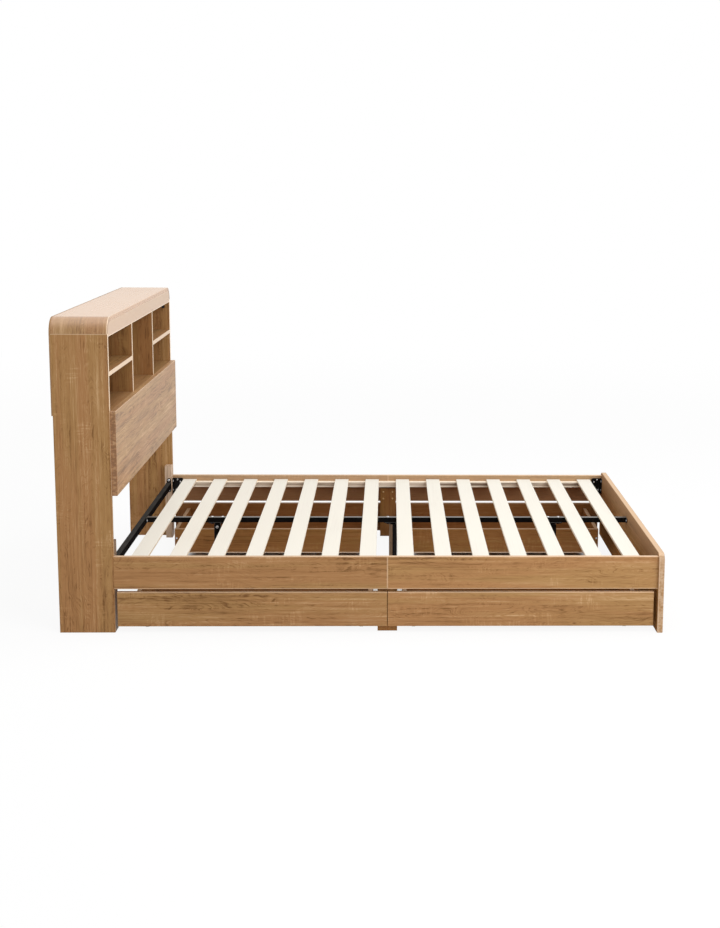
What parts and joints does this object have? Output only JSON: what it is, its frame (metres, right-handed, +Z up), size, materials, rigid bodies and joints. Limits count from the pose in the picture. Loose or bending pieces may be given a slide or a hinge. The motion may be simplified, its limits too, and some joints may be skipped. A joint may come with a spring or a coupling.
{
  "type": "storage bed frame",
  "caption": "Low slatted bed frame with a bookcase headboard, bent top corners, a wide backrest board and rolling drawers under both side rails.",
  "frame": {"origin": "on the floor, at the middle of the overall length and width", "axes": "+X from the headboard to the foot end, +Y to the right side as seen from the foot end looking at the headboard, +Z up"},
  "size_m": [2.15, 1.444, 1.12],
  "materials": {
    "oak_board": "oak-grain laminate on particle board, satin, pale edge band",
    "pine": "planed pale softwood, unfinished",
    "hardboard": "thin fibreboard, matt",
    "black_steel": "satin black powder coat",
    "zinc": "bright zinc plating",
    "black_plastic": "moulded, matt",
    "white_plastic": "moulded nylon, matt"
  },
  "bodies": {
    "bed_frame": {"headboard_left_side": "oak_board", "headboard_left_corner": "oak_board", "headboard_left_divider": "oak_board", "headboard_left_shelf": "oak_board", "left_head_post": "pine", "left_leg_board": "oak_board", "left_rail_head_half": "oak_board", "left_rail_foot_half": "oak_board", "headboard_right_side": "oak_board", "headboard_right_corner": "oak_board", "headboard_right_divider": "oak_board", "headboard_right_shelf": "oak_board", "right_head_post": "pine", "right_leg_board": "oak_board", "right_rail_head_half": "oak_board", "right_rail_foot_half": "oak_board", "headboard_top": "oak_board", "headboard_header": "oak_board", "headboard_floor": "oak_board", "headboard_back_panel": "oak_board", "backrest_board": "oak_board", "footboard": "oak_board", "headboard_cam_locks": "zinc", "head_crossbar": "black_steel", "centre_beam": "black_steel", "leg_brackets": "black_steel", "support_legs": "black_steel", "corner_brackets": "black_steel", "leg_feet": "black_plastic", "slat_ledgers": "pine", "bed_slats": "pine", "frame_fasteners": "zinc"},
    "left_head_drawer": {"left_head_drawer_front": "oak_board", "left_head_drawer_sides": "oak_board", "left_head_drawer_back": "oak_board", "left_head_drawer_bottom": "hardboard", "left_head_drawer_hardware": "zinc"},
    "left_head_drawer_front_wheels": {"left_head_drawer_front_wheels": "white_plastic"},
    "left_head_drawer_rear_wheels": {"left_head_drawer_rear_wheels": "white_plastic"},
    "left_foot_drawer": {"left_foot_drawer_front": "oak_board", "left_foot_drawer_sides": "oak_board", "left_foot_drawer_back": "oak_board", "left_foot_drawer_bottom": "hardboard", "left_foot_drawer_hardware": "zinc"},
    "left_foot_drawer_front_wheels": {"left_foot_drawer_front_wheels": "white_plastic"},
    "left_foot_drawer_rear_wheels": {"left_foot_drawer_rear_wheels": "white_plastic"},
    "right_head_drawer": {"right_head_drawer_front": "oak_board", "right_head_drawer_sides": "oak_board", "right_head_drawer_back": "oak_board", "right_head_drawer_bottom": "hardboard", "right_head_drawer_hardware": "zinc"},
    "right_head_drawer_front_wheels": {"right_head_drawer_front_wheels": "white_plastic"},
    "right_head_drawer_rear_wheels": {"right_head_drawer_rear_wheels": "white_plastic"},
    "right_foot_drawer": {"right_foot_drawer_front": "oak_board", "right_foot_drawer_sides": "oak_board", "right_foot_drawer_back": "oak_board", "right_foot_drawer_bottom": "hardboard", "right_foot_drawer_hardware": "zinc"},
    "right_foot_drawer_front_wheels": {"right_foot_drawer_front_wheels": "white_plastic"},
    "right_foot_drawer_rear_wheels": {"right_foot_drawer_rear_wheels": "white_plastic"}
  },
  "joints": [
    {"name": "left_head_drawer_slide", "type": "slide", "parent": "bed_frame", "child": "left_head_drawer", "axis": [0, -1, 0], "range_m": [0, 0.38]},
    {"name": "left_head_drawer_front_wheels_spin", "type": "hinge", "parent": "left_head_drawer", "child": "left_head_drawer_front_wheels", "pos_m": [-0.4, -0.644, 0.009], "axis": [1, 0, 0], "continuous": true},
    {"name": "left_head_drawer_rear_wheels_spin", "type": "hinge", "parent": "left_head_drawer", "child": "left_head_drawer_rear_wheels", "pos_m": [-0.4, -0.355, 0.009], "axis": [1, 0, 0], "continuous": true},
    {"name": "left_foot_drawer_slide", "type": "slide", "parent": "bed_frame", "child": "left_foot_drawer", "axis": [0, -1, 0], "range_m": [0, 0.38]},
    {"name": "left_foot_drawer_front_wheels_spin", "type": "hinge", "parent": "left_foot_drawer", "child": "left_foot_drawer_front_wheels", "pos_m": [0.55, -0.644, 0.009], "axis": [1, 0, 0], "continuous": true},
    {"name": "left_foot_drawer_rear_wheels_spin", "type": "hinge", "parent": "left_foot_drawer", "child": "left_foot_drawer_rear_wheels", "pos_m": [0.55, -0.355, 0.009], "axis": [1, 0, 0], "continuous": true},
    {"name": "right_head_drawer_slide", "type": "slide", "parent": "bed_frame", "child": "right_head_drawer", "axis": [0, 1, 0], "range_m": [0, 0.38]},
    {"name": "right_head_drawer_front_wheels_spin", "type": "hinge", "parent": "right_head_drawer", "child": "right_head_drawer_front_wheels", "pos_m": [-0.4, 0.644, 0.009], "axis": [-1, 0, 0], "continuous": true},
    {"name": "right_head_drawer_rear_wheels_spin", "type": "hinge", "parent": "right_head_drawer", "child": "right_head_drawer_rear_wheels", "pos_m": [-0.4, 0.355, 0.009], "axis": [-1, 0, 0], "continuous": true},
    {"name": "right_foot_drawer_slide", "type": "slide", "parent": "bed_frame", "child": "right_foot_drawer", "axis": [0, 1, 0], "range_m": [0, 0.38]},
    {"name": "right_foot_drawer_front_wheels_spin", "type": "hinge", "parent": "right_foot_drawer", "child": "right_foot_drawer_front_wheels", "pos_m": [0.55, 0.644, 0.009], "axis": [-1, 0, 0], "continuous": true},
    {"name": "right_foot_drawer_rear_wheels_spin", "type": "hinge", "parent": "right_foot_drawer", "child": "right_foot_drawer_rear_wheels", "pos_m": [0.55, 0.355, 0.009], "axis": [-1, 0, 0], "continuous": true}
  ],
  "couplings": [
    {"joint": "left_head_drawer_front_wheels_spin", "follows": "left_head_drawer_slide", "rad_per_m": 111.11},
    {"joint": "left_head_drawer_rear_wheels_spin", "follows": "left_head_drawer_slide", "rad_per_m": 111.11},
    {"joint": "left_foot_drawer_front_wheels_spin", "follows": "left_foot_drawer_slide", "rad_per_m": 111.11},
    {"joint": "left_foot_drawer_rear_wheels_spin", "follows": "left_foot_drawer_slide", "rad_per_m": 111.11},
    {"joint": "right_head_drawer_front_wheels_spin", "follows": "right_head_drawer_slide", "rad_per_m": 111.11},
    {"joint": "right_head_drawer_rear_wheels_spin", "follows": "right_head_drawer_slide", "rad_per_m": 111.11},
    {"joint": "right_foot_drawer_front_wheels_spin", "follows": "right_foot_drawer_slide", "rad_per_m": 111.11},
    {"joint": "right_foot_drawer_rear_wheels_spin", "follows": "right_foot_drawer_slide", "rad_per_m": 111.11}
  ]
}
